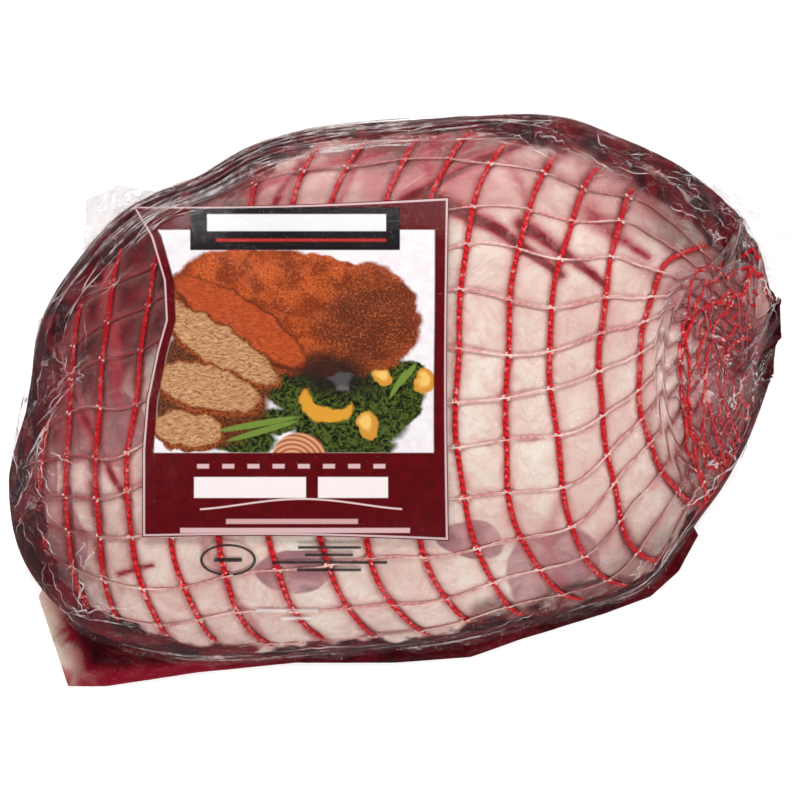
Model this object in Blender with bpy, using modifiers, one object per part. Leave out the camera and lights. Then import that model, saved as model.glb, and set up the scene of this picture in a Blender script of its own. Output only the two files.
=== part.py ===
"""Vacuum-packed, netted leg of lamb, lying flat.

The boned leg is rolled, held in a knitted roasting net and shrunk into a clear
bag.  The bag hugs the net, so the whole pack is one closed solid: a lopsided
cushion with a grid of soft pillows between the net strands, a gathered net
bunch at the right-hand end, and thin bag margins round the foot.
Millimetres are used in the functions and turned to metres at the end.
"""
import math
import bpy
import bmesh
import numpy as np

MM = 0.001

# ---------------------------------------------------------------- dimensions
# plan half-widths of the leg every 12 degrees, counter-clockwise from +X
PLAN_RADII = [130.1, 139.9, 139.3, 132.3, 122.6, 115.3, 105.4, 99.6, 98.2, 100.1,
              103.2, 105.3, 115.4, 121.9, 127.9, 128.8, 138.9, 142.3, 135.5, 120.8,
              105.1, 93.9, 88.6, 86.9, 87.6, 91.3, 98.6, 110.2, 113.9, 121.6]
RIM_Z = 31.0            # height of the widest line
TOP_H = 53.0            # crown above the rim
BOT_H = 38.0            # belly depth below the rim before the flat is cut
CROWN = 2.35            # squareness of the upper profile
BELLY = 2.2             # squareness of the lower profile
SHANK_DIP = 0.14        # the shank side is this much lower
TIED_END = (119.0, 3.0, 47.0)    # middle of the gathered net
END_BOW = 0.0100        # bulge of the gathered end
END_REACH = 70.0        # and how far it is felt
TILT_LEFT = math.radians(13.0)   # lean of the net rings at the shank end
TILT_MID = math.radians(33.0)
TILT_RIGHT = math.radians(38.0)  # and at the gathered end

# the net: places of the rings along the axis (0 shank end .. 1 gathered end)
RING_AT = [0.030, 0.086, 0.142, 0.200, 0.269, 0.331, 0.401, 0.469, 0.533, 0.599,
           0.662, 0.727, 0.792, 0.849, 0.903, 0.949, 0.979]
THREADS = 26            # lengthwise threads of the net
GROOVE = 1.3            # how far a strand sinks below the pillows
FINE_LEFT = 0.007       # where the last rings at each pole sit
FINE_RIGHT = 0.996

# bag margins
FIN_T = 3.0             # purge-filled margin along the near side
TUFT_T = 1.8            # crumpled empty film at the corners


# ---------------------------------------------------------------- leg form
def periodic(tab, t):
    n = len(tab)
    r = np.asarray(tab, float)
    i = np.floor(t).astype(int)
    f = t - i
    p = [r[(i + k) % n] for k in (-1, 0, 1, 2)]
    return 0.5 * (2 * p[1] + (p[2] - p[0]) * f
                  + (2 * p[0] - 5 * p[1] + 4 * p[2] - p[3]) * f ** 2
                  + (3 * p[1] - p[0] - 3 * p[2] + p[3]) * f ** 3)


def plan_radius(lam):
    return periodic(PLAN_RADII, (lam / (2 * np.pi) * len(PLAN_RADII)) % len(PLAN_RADII))


def rho(x, y):
    return np.hypot(x, y) / plan_radius(np.arctan2(y, x))


def soft_min(a, b, k):
    h = np.clip(0.5 + 0.5 * (b - a) / k, 0, 1)
    return b * (1 - h) + a * h - k * h * (1 - h)


def top_z(x, y):
    q = np.clip(rho(x, y), 0, 1)
    dip = 1 - SHANK_DIP * np.exp(-((x + 100) ** 2 / (2 * 34 ** 2)
                                   + (y - 52) ** 2 / (2 * 40 ** 2)))
    z = RIM_Z + TOP_H * (1 - q ** CROWN) ** 0.5 * dip
    xe, ye, ze = TIED_END
    d2 = (x - xe) ** 2 + (y - ye) ** 2
    end = ze - (x - xe) / math.tan(TILT_RIGHT) - END_BOW * d2 / (1 + d2 / END_REACH ** 2)
    return np.maximum(soft_min(z, end, 12.0), RIM_Z)


def bot_z(x, y):
    q = np.clip(rho(x, y), 0, 1)
    return RIM_Z - BOT_H * (1 - q ** BELLY) ** 0.5


def inside(p):
    x, y, z = p[..., 0], p[..., 1], p[..., 2]
    return (rho(x, y) < 1) & (z < top_z(x, y)) & (z > bot_z(x, y))


def lean(t):
    s = np.clip(t / 0.36, 0, 1)
    u = np.clip((t - 0.36) / 0.64, 0, 1)
    return TILT_LEFT + (TILT_MID - TILT_LEFT) * np.sin(s * np.pi / 2) \
        + (TILT_RIGHT - TILT_MID) * u ** 2


def end_points():
    x, y = np.meshgrid(np.linspace(-145, 145, 291), np.linspace(-100, 105, 206))
    m = rho(x, y) < 1
    right = np.array(TIED_END)
    right[2] = top_z(right[0], right[1])
    low = np.stack([x, y, bot_z(x, y)], -1)[m]
    n = np.array([math.cos(TILT_LEFT), 0, math.sin(TILT_LEFT)])
    return low[np.argmin(low @ n)], right


def girths(t, m):
    """m points of equal spacing round the leg in each net-ring plane t"""
    left, right = end_points()
    centre = left + (right - left) * t[:, None]
    a = lean(t)
    up = np.stack([-np.sin(a), 0 * a, np.cos(a)], -1)
    th = np.linspace(0, 2 * np.pi, 540, endpoint=False) - np.pi / 2
    d = (np.cos(th)[None, :, None] * np.array([0, 1.0, 0])
         + np.sin(th)[None, :, None] * up[:, None, :])
    lo = np.zeros((len(t), 540))
    hi = np.full((len(t), 540), 260.0)
    for _ in range(24):
        mid = (lo + hi) / 2
        ok = inside(centre[:, None, :] + mid[..., None] * d)
        lo = np.where(ok, mid, lo)
        hi = np.where(ok, hi, mid)
    loops = centre[:, None, :] + lo[..., None] * d
    out = np.zeros((len(t), m, 3))
    for k, loop in enumerate(loops):
        closed = np.vstack([loop, loop[:1]])
        run = np.r_[0, np.cumsum(np.linalg.norm(np.diff(closed, axis=0), axis=1))]
        w = np.arange(m) / m * run[-1]
        out[k] = np.stack([np.interp(w, run, closed[:, i]) for i in range(3)], -1)
    return out, left, right


# ---------------------------------------------------------------- scene reset
for ob in list(bpy.data.objects):
    bpy.data.objects.remove(ob, do_unlink=True)

col = bpy.data.collections.new("vacuum_packed_leg_of_lamb")
bpy.context.scene.collection.children.link(col)
cutters = bpy.data.collections.new("cutters")
bpy.context.scene.collection.children.link(cutters)


def finish_mesh(name, bm, where):
    me = bpy.data.meshes.new(name)
    bmesh.ops.recalc_face_normals(bm, faces=bm.faces[:])
    bm.to_mesh(me)
    bm.free()
    ob = bpy.data.objects.new(name, me)
    where.objects.link(ob)
    return ob


# ---------------------------------------------------------------- leg solid
def stations():
    """two planes between each pair of rings, one on each ring"""
    rows = [FINE_LEFT]
    for a, b in zip(RING_AT[:-1], RING_AT[1:]):
        rows += [a, a + (b - a) / 3, a + 2 * (b - a) / 3]
    rows += [RING_AT[-1], FINE_RIGHT]
    on_ring = [False] + [True, False, False] * (len(RING_AT) - 1) + [True, False]
    return np.array(rows), on_ring


def build_leg():
    rows, on_ring = stations()
    m = THREADS * 2
    pts, left, right = girths(rows, m)
    # pillows: every second point stands between two threads, ring rows sink
    ctr = pts.mean(axis=1, keepdims=True)
    out = pts - ctr
    out /= np.maximum(np.linalg.norm(out, axis=2, keepdims=True), 1e-6)
    for k in range(len(rows)):
        for j in range(m):
            low = 0.0
            if on_ring[k]:
                low = GROOVE
            elif j % 2 == 0:
                low = GROOVE * 0.55
            pts[k, j] -= out[k, j] * low * (0.35 if k in (0, len(rows) - 1) else 1.0)
    bm = bmesh.new()
    bmesh.ops.create_uvsphere(bm, u_segments=m, v_segments=len(rows) + 1, radius=1.0)
    bm.verts.ensure_lookup_table()
    for v in bm.verts:
        x, y, z = v.co
        row = int(round(math.acos(max(-1, min(1, z))) / math.pi * (len(rows) + 1)))
        if row == 0:
            p = left
        elif row == len(rows) + 1:
            p = right
        else:
            j = int(round((math.atan2(y, x) % (2 * math.pi)) / (2 * math.pi) * m)) % m
            p = pts[row - 1, j]
        v.co = (p[0] * MM, p[1] * MM, max(p[2], 0.0) * MM)
    return finish_mesh("vacuum_pack", bm, col)


# ---------------------------------------------------------------- bag margins
def ribbon(name, outer, in_share, z_in, z_out, wave, cols, rows, thick):
    """a waved strip from inside the leg out to a plan curve, given a thickness"""
    bm = bmesh.new()
    grid = []
    for i in range(cols + 1):
        u = i / cols
        b = outer(u)
        ang = math.atan2(b[1], b[0])
        r = in_share * float(plan_radius(np.array(ang)))
        a = (r * math.cos(ang), r * math.sin(ang))
        line = []
        for j in range(rows + 1):
            v = j / rows
            x = a[0] + (b[0] - a[0]) * v
            y = a[1] + (b[1] - a[1]) * v
            z = z_in + (z_out - z_in) * v + wave * math.sin(11.0 * u + 2.0 * v) * v
            line.append(bm.verts.new((x * MM, y * MM, z * MM)))
        grid.append(line)
    for i in range(cols):
        for j in range(rows):
            bm.faces.new((grid[i][j], grid[i + 1][j], grid[i + 1][j + 1], grid[i][j + 1]))
    ob = finish_mesh(name, bm, cutters)
    md = ob.modifiers.new("thickness", 'SOLIDIFY')
    md.thickness = thick * MM
    md.offset = 0.0
    ob.hide_render = True
    ob.display_type = 'WIRE'
    return ob


def along(points):
    """even broken-line function through a few named corners"""
    pts = np.array(points, float)
    run = np.r_[0, np.cumsum(np.linalg.norm(np.diff(pts, axis=0), axis=1))]
    return lambda u: (np.interp(u * run[-1], run, pts[:, 0]),
                      np.interp(u * run[-1], run, pts[:, 1]))


# near side: the purge-filled margin runs from the tail corner to the tied end
NEAR_FIN = [(-117.0, -52.0), (-127.0, -70.0), (-121.0, -88.0), (-116.5, -102.0), (-103.0, -102.0),
            (-70.0, -97.0), (-35.0, -93.5), (0.0, -93.5), (27.0, -91.5),
            (44.0, -85.5), (75.0, -76.0), (91.0, -70.0), (101.0, -61.0), (108.0, -48.0), (102.0, -38.0)]
FAR_TUFT = [(112.0, 76.0), (126.0, 69.5), (141.0, 60.0), (142.0, 50.0), (134.0, 42.0)]
SHANK_TUFT = [(-109.0, 52.0), (-108.0, 70.0), (-97.0, 75.0), (-78.0, 72.0)]

leg = build_leg()
margins = [
    ribbon("near_margin", along(NEAR_FIN), 0.70, 11.0, 5.0, 1.0, 44, 4, FIN_T),
    ribbon("far_tuft", along(FAR_TUFT), 0.80, 29.0, 27.0, 1.6, 12, 4, TUFT_T),
    ribbon("shank_tuft", along(SHANK_TUFT), 0.80, 31.0, 33.0, 1.4, 10, 4, TUFT_T),
]
for m in margins:
    md = leg.modifiers.new("join_" + m.name, 'BOOLEAN')
    md.operation = 'UNION'
    md.solver = 'EXACT'
    md.object = m

# ---------------------------------------------------------------- true origin
deps = bpy.context.evaluated_depsgraph_get()
baked = bpy.data.meshes.new_from_object(leg.evaluated_get(deps))
co = np.array([tuple(v.co) for v in baked.vertices])
shift = -0.5 * (co.min(axis=0) + co.max(axis=0))
shift[2] = -co[:, 2].min()
for ob in [leg] + margins:
    for v in ob.data.vertices:
        v.co.x += shift[0]
        v.co.y += shift[1]
        v.co.z += shift[2]
print("SHIFT_MM", [round(float(s) * 1000, 4) for s in shift])
print("SIZE_MM", [round(float(s) * 1000, 2) for s in co.max(axis=0) - co.min(axis=0)],
      "TRIS", sum(len(p.vertices) - 2 for p in baked.polygons))
bpy.data.meshes.remove(baked)

# ---------------------------------------------------------------- look
mat = bpy.data.materials.new("clear_bag_over_raw_meat")
mat.use_nodes = True
bsdf = mat.node_tree.nodes["Principled BSDF"]
bsdf.inputs["Base Color"].default_value = (0.62, 0.34, 0.32, 1.0)
bsdf.inputs["Roughness"].default_value = 0.22
leg.data.materials.append(mat)
for p in leg.data.polygons:
    p.use_smooth = True
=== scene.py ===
import math
import bpy
import bmesh
import numpy as np
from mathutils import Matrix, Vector
from mathutils.bvhtree import BVHTree


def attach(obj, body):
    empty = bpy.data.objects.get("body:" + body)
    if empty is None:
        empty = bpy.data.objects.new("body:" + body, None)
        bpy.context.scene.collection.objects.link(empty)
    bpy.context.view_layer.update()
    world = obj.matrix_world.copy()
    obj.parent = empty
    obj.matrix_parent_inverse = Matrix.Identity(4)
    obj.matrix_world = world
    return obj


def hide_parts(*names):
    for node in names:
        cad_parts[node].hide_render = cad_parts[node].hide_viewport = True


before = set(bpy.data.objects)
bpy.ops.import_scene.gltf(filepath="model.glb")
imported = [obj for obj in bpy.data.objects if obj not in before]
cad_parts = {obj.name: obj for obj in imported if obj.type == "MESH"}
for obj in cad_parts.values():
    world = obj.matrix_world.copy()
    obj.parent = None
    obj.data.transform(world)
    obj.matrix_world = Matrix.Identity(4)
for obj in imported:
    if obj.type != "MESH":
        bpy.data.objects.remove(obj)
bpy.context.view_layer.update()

MM = 0.001

# ------------------------------------------------------------ shared form
# the same named sizes as the solid, millimetres in the leg's own axes
SHIFT = np.array([-3.2673, 1.1506, 0.0])
PLAN_RADII = [130.1, 139.9, 139.3, 132.3, 122.6, 115.3, 105.4, 99.6, 98.2, 100.1,
              103.2, 105.3, 115.4, 121.9, 127.9, 128.8, 138.9, 142.3, 135.5, 120.8,
              105.1, 93.9, 88.6, 86.9, 87.6, 91.3, 98.6, 110.2, 113.9, 121.6]
RIM_Z, TOP_H, BOT_H = 31.0, 53.0, 38.0
CROWN, BELLY, SHANK_DIP = 2.35, 2.2, 0.14
TIED_END = (119.0, 3.0, 47.0)
END_BOW, END_REACH = 0.0100, 70.0
TILT_LEFT, TILT_MID, TILT_RIGHT = (math.radians(a) for a in (13.0, 33.0, 38.0))
RING_AT = [0.030, 0.086, 0.142, 0.200, 0.269, 0.331, 0.401, 0.469, 0.533, 0.599,
           0.662, 0.727, 0.792, 0.849, 0.903, 0.949, 0.979]
RINGS = len(RING_AT)
THREADS = 26
CAM_D = 1500.0          # camera height over the rim
UNIT = 0.35             # one layout unit on the rim plane


def periodic(tab, t):
    n = len(tab)
    r = np.asarray(tab, float)
    i = np.floor(t).astype(int)
    f = t - i
    p = [r[(i + k) % n] for k in (-1, 0, 1, 2)]
    return 0.5 * (2 * p[1] + (p[2] - p[0]) * f
                  + (2 * p[0] - 5 * p[1] + 4 * p[2] - p[3]) * f ** 2
                  + (3 * p[1] - p[0] - 3 * p[2] + p[3]) * f ** 3)


def plan_radius(lam):
    return periodic(PLAN_RADII, (lam / (2 * np.pi) * len(PLAN_RADII)) % len(PLAN_RADII))


def rho(x, y):
    return np.hypot(x, y) / plan_radius(np.arctan2(y, x))


def soft_min(a, b, k):
    h = np.clip(0.5 + 0.5 * (b - a) / k, 0, 1)
    return b * (1 - h) + a * h - k * h * (1 - h)


def top_z(x, y):
    q = np.clip(rho(x, y), 0, 1)
    dip = 1 - SHANK_DIP * np.exp(-((x + 100) ** 2 / (2 * 34 ** 2)
                                   + (y - 52) ** 2 / (2 * 40 ** 2)))
    z = RIM_Z + TOP_H * (1 - q ** CROWN) ** 0.5 * dip
    xe, ye, ze = TIED_END
    d2 = (x - xe) ** 2 + (y - ye) ** 2
    end = ze - (x - xe) / math.tan(TILT_RIGHT) - END_BOW * d2 / (1 + d2 / END_REACH ** 2)
    return np.maximum(soft_min(z, end, 12.0), RIM_Z)


def bot_z(x, y):
    q = np.clip(rho(x, y), 0, 1)
    return RIM_Z - BOT_H * (1 - q ** BELLY) ** 0.5


def inside(p):
    x, y, z = p[..., 0], p[..., 1], p[..., 2]
    return (rho(x, y) < 1) & (z < top_z(x, y)) & (z > bot_z(x, y))


def lean_of(t):
    s = np.clip(t / 0.36, 0, 1)
    u = np.clip((t - 0.36) / 0.64, 0, 1)
    return TILT_LEFT + (TILT_MID - TILT_LEFT) * np.sin(s * np.pi / 2) \
        + (TILT_RIGHT - TILT_MID) * u ** 2


def end_points():
    x, y = np.meshgrid(np.linspace(-145, 145, 291), np.linspace(-100, 105, 206))
    m = rho(x, y) < 1
    right = np.array(TIED_END)
    right[2] = top_z(right[0], right[1])
    low = np.stack([x, y, bot_z(x, y)], -1)[m]
    n = np.array([math.cos(TILT_LEFT), 0, math.sin(TILT_LEFT)])
    return low[np.argmin(low @ n)], right


POLE_L, POLE_R = end_points()


def girths(t, m):
    """m points of equal spacing round the leg in each net-ring plane t"""
    centre = POLE_L + (POLE_R - POLE_L) * t[:, None]
    a = lean_of(t)
    up = np.stack([-np.sin(a), 0 * a, np.cos(a)], -1)
    th = np.linspace(0, 2 * np.pi, 540, endpoint=False) - np.pi / 2
    d = (np.cos(th)[None, :, None] * np.array([0, 1.0, 0])
         + np.sin(th)[None, :, None] * up[:, None, :])
    lo = np.zeros((len(t), 540))
    hi = np.full((len(t), 540), 260.0)
    for _ in range(22):
        mid = (lo + hi) / 2
        ok = inside(centre[:, None, :] + mid[..., None] * d)
        lo = np.where(ok, mid, lo)
        hi = np.where(ok, hi, mid)
    loops = centre[:, None, :] + lo[..., None] * d
    out = np.zeros((len(t), m, 3))
    for k, loop in enumerate(loops):
        closed = np.vstack([loop, loop[:1]])
        run = np.r_[0, np.cumsum(np.linalg.norm(np.diff(closed, axis=0), axis=1))]
        w = np.arange(m) / m * run[-1]
        out[k] = np.stack([np.interp(w, run, closed[:, i]) for i in range(3)], -1)
    return out


S_LO, S_HI = -1.0, RINGS + 1.0


def t_of(s):
    """plane position of ring coordinate s (whole numbers are rings)"""
    return np.interp(s, [-1.0] + list(range(RINGS)) + [RINGS, RINGS + 1.0],
                     [0.004] + RING_AT + [0.9925, 0.9995])


# ------------------------------------------------------------ noise
def lattice(ix, iy, iz, seed):
    h = (ix.astype(np.int64) * 374761393 + iy.astype(np.int64) * 668265263
         + iz.astype(np.int64) * 1440662683 + seed * 974634777) & 0xFFFFFFFF
    h = ((h ^ (h >> 13)) * 1274126177) & 0xFFFFFFFF
    h = h ^ (h >> 16)
    return (h & 0xFFFF) / 32767.5 - 1.0


def noise(p, size, seed=0):
    """smooth value noise of about this feature size, -1..1"""
    q = np.asarray(p, float) / size
    i = np.floor(q).astype(np.int64)
    f = q - i
    f = f * f * (3 - 2 * f)
    out = 0
    for dx in (0, 1):
        wx = f[..., 0] if dx else 1 - f[..., 0]
        for dy in (0, 1):
            wy = f[..., 1] if dy else 1 - f[..., 1]
            for dz in (0, 1):
                wz = f[..., 2] if dz else 1 - f[..., 2]
                out = out + wx * wy * wz * lattice(i[..., 0] + dx, i[..., 1] + dy,
                                                   i[..., 2] + dz, seed)
    return out


def fbm(p, size, seed=0, octaves=3):
    return sum(noise(p, size / 2 ** k, seed + 7 * k) / 2 ** k for k in range(octaves))


def step(a, b, x):
    t = np.clip((x - a) / (b - a), 0, 1)
    return t * t * (3 - 2 * t)


def layout(p):
    """layout units 0..800 of a point, as set out on the rim plane from above"""
    k = CAM_D / (CAM_D + RIM_Z - p[..., 2]) / UNIT
    return np.stack([400 + (p[..., 0] - 1.75) * k, 400 - p[..., 1] * k], -1)


def blob(uv, cx, cy, rx, ry, turn=0.0, soft=0.35):
    a = math.radians(turn)
    dx, dy = uv[..., 0] - cx, uv[..., 1] - cy
    u = (dx * math.cos(a) + dy * math.sin(a)) / rx
    v = (-dx * math.sin(a) + dy * math.cos(a)) / ry
    return 1 - step(1 - soft, 1 + soft, np.hypot(u, v))


def near_line(uv, pts, width):
    """1 on a broken line, falling to 0 at width"""
    best = np.full(uv.shape[:-1], 1e9)
    for (x0, y0), (x1, y1) in zip(pts[:-1], pts[1:]):
        d = np.array([x1 - x0, y1 - y0], float)
        t = np.clip(((uv[..., 0] - x0) * d[0] + (uv[..., 1] - y0) * d[1]) / (d @ d), 0, 1)
        best = np.minimum(best, np.hypot(uv[..., 0] - x0 - t * d[0], uv[..., 1] - y0 - t * d[1]))
    return np.exp(-(best / width) ** 2)


# ------------------------------------------------------------ mesh helpers
root = bpy.data.collections.new("lamb_pack")
bpy.context.scene.collection.children.link(root)


def to_m(p):
    return (np.asarray(p, float) + SHIFT) * MM


def make(name, verts, faces, attrs=None, uv=None, smooth=True):
    me = bpy.data.meshes.new(name)
    verts = to_m(verts).astype(np.float32)
    faces = np.asarray(faces, dtype=np.int32)
    n = faces.shape[1]
    me.vertices.add(len(verts))
    me.vertices.foreach_set("co", verts.ravel())
    me.loops.add(faces.size)
    me.loops.foreach_set("vertex_index", faces.ravel())
    me.polygons.add(len(faces))
    me.polygons.foreach_set("loop_start", np.arange(0, faces.size, n, dtype=np.int32))
    me.update(calc_edges=True)
    me.validate()
    for key, val in (attrs or {}).items():
        at = me.attributes.new(key, 'FLOAT', 'POINT')
        at.data.foreach_set("value", np.asarray(val, np.float32).ravel())
    if uv is not None:
        layer = me.uv_layers.new(name="print")
        idx = np.zeros(len(me.loops), dtype=np.int32)
        me.loops.foreach_get("vertex_index", idx)
        layer.data.foreach_set("uv", np.asarray(uv, np.float32)[idx].ravel())
    me.polygons.foreach_set("use_smooth", np.full(len(me.polygons), smooth))
    ob = bpy.data.objects.new(name, me)
    root.objects.link(ob)
    return ob


def lathe_faces(rows, cols, cap0, cap1):
    """quads of a rows x cols closed grid, without the end caps"""
    i = np.arange(rows - 1)[:, None]
    j = np.arange(cols)[None, :]
    k = (j + 1) % cols
    quads = np.stack([i * cols + j, i * cols + k, (i + 1) * cols + k, (i + 1) * cols + j], -1)
    return quads.reshape(-1, 4)


def grid_faces(rows, cols, wrap_rows=False):
    i = np.arange(rows if wrap_rows else rows - 1)[:, None]
    ii = (i + 1) % rows
    j = np.arange(cols - 1)[None, :]
    return np.stack([i * cols + j, i * cols + j + 1, ii * cols + j + 1, ii * cols + j],
                    -1).reshape(-1, 4)


def surface_normals(p):
    """outward normals of a closed-girth grid (rows along the leg)"""
    dt = np.gradient(p, axis=0)
    dw = np.roll(p, -1, axis=1) - np.roll(p, 1, axis=1)
    n = np.cross(dw, dt)
    n /= np.maximum(np.linalg.norm(n, axis=-1, keepdims=True), 1e-9)
    ctr = p.mean(axis=1, keepdims=True)
    flip = np.sign(np.sum(n * (p - ctr), axis=(1, 2)).sum())
    return n * flip


# ------------------------------------------------------------ base grid
ROWS, COLS = ((286, 338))
s_rows = np.linspace(S_LO, S_HI, ROWS)
BASE = girths(t_of(s_rows), COLS)
NORM = surface_normals(BASE)
for _ in range(3):
    NORM[1:-1] = 0.25 * NORM[:-2] + 0.5 * NORM[1:-1] + 0.25 * NORM[2:]
    NORM = 0.25 * np.roll(NORM, 1, 1) + 0.5 * NORM + 0.25 * np.roll(NORM, -1, 1)
NORM /= np.maximum(np.linalg.norm(NORM, axis=-1, keepdims=True), 1e-9)
S, W = np.meshgrid(s_rows, np.arange(COLS) / COLS, indexing="ij")


def sample(s, w, grid):
    """value of a base grid at ring coordinate s and share w round the girth"""
    fi = np.clip((s - S_LO) / (S_HI - S_LO) * (ROWS - 1), 0, ROWS - 1.0001)
    fj = (w % 1.0) * COLS
    i = np.floor(fi).astype(int)
    j = np.floor(fj).astype(int) % COLS
    u = (fi - i)[..., None]
    v = (fj - np.floor(fj))[..., None]
    k = (j + 1) % COLS
    return ((grid[i, j] * (1 - v) + grid[i, k] * v) * (1 - u)
            + (grid[i + 1, j] * (1 - v) + grid[i + 1, k] * v) * u)


# the strands wander a little from the even grid
def ring_wander(w, k):
    return 0.055 * np.sin(2 * np.pi * (2 * w + 0.37 * k)) + 0.035 * np.sin(
        2 * np.pi * (5 * w + 0.71 * k)) + 0.02 * np.sin(2 * np.pi * (11 * w + 0.13 * k))


def thread_wander(s, j):
    return (0.10 * np.sin(0.9 * s + 1.7 * j) + 0.05 * np.sin(2.3 * s + 0.9 * j)) / THREADS


# distance to the nearest ring and thread, millimetres
ROW_PITCH = np.linalg.norm(np.gradient(BASE, axis=0), axis=-1) * (ROWS - 1) / (S_HI - S_LO)
GIRTH = np.linalg.norm(np.roll(BASE, -1, 1) - BASE, axis=-1).sum(axis=1)
d_ring = np.full(S.shape, 1e9)
for k in range(RINGS):
    d_ring = np.minimum(d_ring, np.abs(S - k - ring_wander(W, k)) * ROW_PITCH)
d_thr = np.full(S.shape, 1e9)
for j in range(THREADS):
    c = (j + 0.5) / THREADS + thread_wander(S, j)
    d = np.abs((W - c + 0.5) % 1.0 - 0.5)
    d_thr = np.minimum(d_thr, d * GIRTH[:, None])

UV = layout(BASE)
Q = rho(BASE[..., 0], BASE[..., 1])
UP = step(-0.25, 0.25, NORM[..., 2])          # 1 on the shown side
TOPSIDE = step(RIM_Z - 6, RIM_Z + 6, BASE[..., 2])

# folds in the meat where juice gathers: layout points and width
FOLDS = [([(430, 192), (462, 208), (500, 230), (545, 262), (562, 274)], 11, 5.0, 1.0),
         ([(520, 222), (552, 242), (586, 268), (604, 282)], 10, 5.0, 0.9),
         ([(588, 212), (620, 238), (650, 258)], 11, 6, 0.7),
         ([(404, 196), (440, 178), (480, 156), (545, 134)], 7, 5, 0.95),
         ([(505, 150), (520, 175), (530, 215)], 9, 5, 0.40),
         ([(440, 130), (425, 150), (430, 175)], 10, 6, 0.55),
         ([(475, 130), (462, 148)], 9, 5, 0.5),
         ([(640, 262), (668, 290), (690, 330)], 10, 7, 0.35),
         ([(270, 205), (285, 180), (300, 160)], 6, 4, 0.8),
         ([(340, 200), (352, 175), (356, 150)], 5, 3, 0.6),
         ([(245, 190), (300, 168), (380, 150)], 5, 4, 0.6),
         ([(118, 575), (150, 566)], 4, 3, 0.9),
         ([(62, 372), (86, 420), (112, 478), (124, 500)], 7, 4, 0.9),
         ([(96, 258), (112, 330), (118, 400)], 9, 6, 0.6),
         ([(560, 500), (548, 540), (560, 590)], 8, 6, 0.35),
         ([(200, 545), (230, 600), (262, 640)], 5, 4, 0.35)]
def soft_line(uv, pts, w0, w1):
    """soft streak along a polyline, its width going from w0 to w1"""
    pts = np.array(pts, float)
    seg = np.linalg.norm(np.diff(pts, axis=0), axis=1)
    cum = np.r_[0, np.cumsum(seg)] / seg.sum()
    out = np.zeros(uv.shape[:-1])
    for i in range(len(seg)):
        d = pts[i + 1] - pts[i]
        u = np.clip((uv - pts[i]) @ d / (d @ d), 0, 1)
        dist = np.linalg.norm(uv - pts[i] - u[..., None] * d, axis=-1)
        wid = w0 + (w1 - w0) * (cum[i] + u * (cum[i + 1] - cum[i]))
        out = np.maximum(out, np.exp(-(dist / wid) ** 2))
    return out


warp = UV + np.stack([fbm(BASE, 22, 31), fbm(BASE, 22, 77)], -1) * 7.0
fold = np.zeros(S.shape)
for pts, wid0, wid1, amt in FOLDS:
    fold = np.maximum(fold, amt * soft_line(0.6 * UV + 0.4 * warp, pts, wid0, wid1))
fold *= TOPSIDE

def over_panel(uv):
    """1 inside the printed panel's outline and a little past it"""
    return (step(126, 140, uv[..., 0]) * step(464, 450, uv[..., 0])
            * step(186, 198, uv[..., 1]) * step(554, 542, uv[..., 1]))


LBL = over_panel(UV) * TOPSIDE
g_ring = np.exp(-(d_ring / 1.9) ** 2)
g_thr = np.exp(-(d_thr / 1.3) ** 2)
pillow = 1 - np.exp(-(np.minimum(d_ring, d_thr * 1.25) / 4.2) ** 1.5)
calm = step(S_LO, 0.3, S) * (1 - step(RINGS - 0.6, S_HI, S))
lumps = 1.1 * fbm(BASE, 30, 5) + 0.5 * fbm(BASE, 9, 11)

meat_in = (0.80 + 1.15 * g_ring * calm + 0.25 * g_thr * calm + 0.45 * (1 - pillow) * calm
           + 0.6 * fold + 0.35 * (1 - lumps) * 0.8)
film_in = 0.05 + 0.75 * np.exp(-(d_ring / 3.4) ** 2) * calm + 0.35 * np.exp(
    -(d_thr / 2.6) ** 2) * calm + 0.3 * fold

# the printed panel keeps the film flatter
film_in = film_in * (1 - 0.75 * LBL)
meat_in = meat_in + 1.0 * LBL


def inset(grid, depth, floor):
    p = grid - NORM * depth[..., None]
    p[..., 2] = np.maximum(p[..., 2], floor)
    return p



# crumpled bag round the rim and at the gathered end
edge = step(0.84, 0.985, Q) * step(4.0, 16.0, BASE[..., 2])
bunch = np.exp(-(((UV[..., 0] - 745) / 42) ** 2 + ((UV[..., 1] - 400) / 120) ** 2)) * TOPSIDE
lam = np.arctan2(BASE[..., 1], BASE[..., 0])
along_rim = np.stack([lam * 34, Q * 190, BASE[..., 2] * 0.55], -1)
crease = 1 - np.abs(fbm(along_rim * np.array([0.55, 1.0, 1.0]), 13, 3, 3)) * 1.7
crease2 = 1 - np.abs(fbm(BASE, 10, 19, 3)) * 1.8
wrinkle = (np.clip(crease, 0, 1) ** 2 * edge * 2.6 + np.clip(crease2, 0, 1) ** 3 * bunch * 0.7)
ridge = near_line(UV, [(404, 196), (450, 166), (540, 134)], 3.0) * TOPSIDE
film_out = wrinkle + 1.3 * ridge + 0.18 * fbm(BASE, 16, 91)
FILM = inset(BASE, film_in - film_out, 0.05)

# ------------------------------------------------------------ colour zones
def zones(table, soft):
    out = np.zeros(S.shape)
    for cx, cy, rx, ry, turn, amt in table:
        out = np.maximum(out, amt * blob(warp, cx, cy, rx, ry, turn, soft))
    return out


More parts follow.
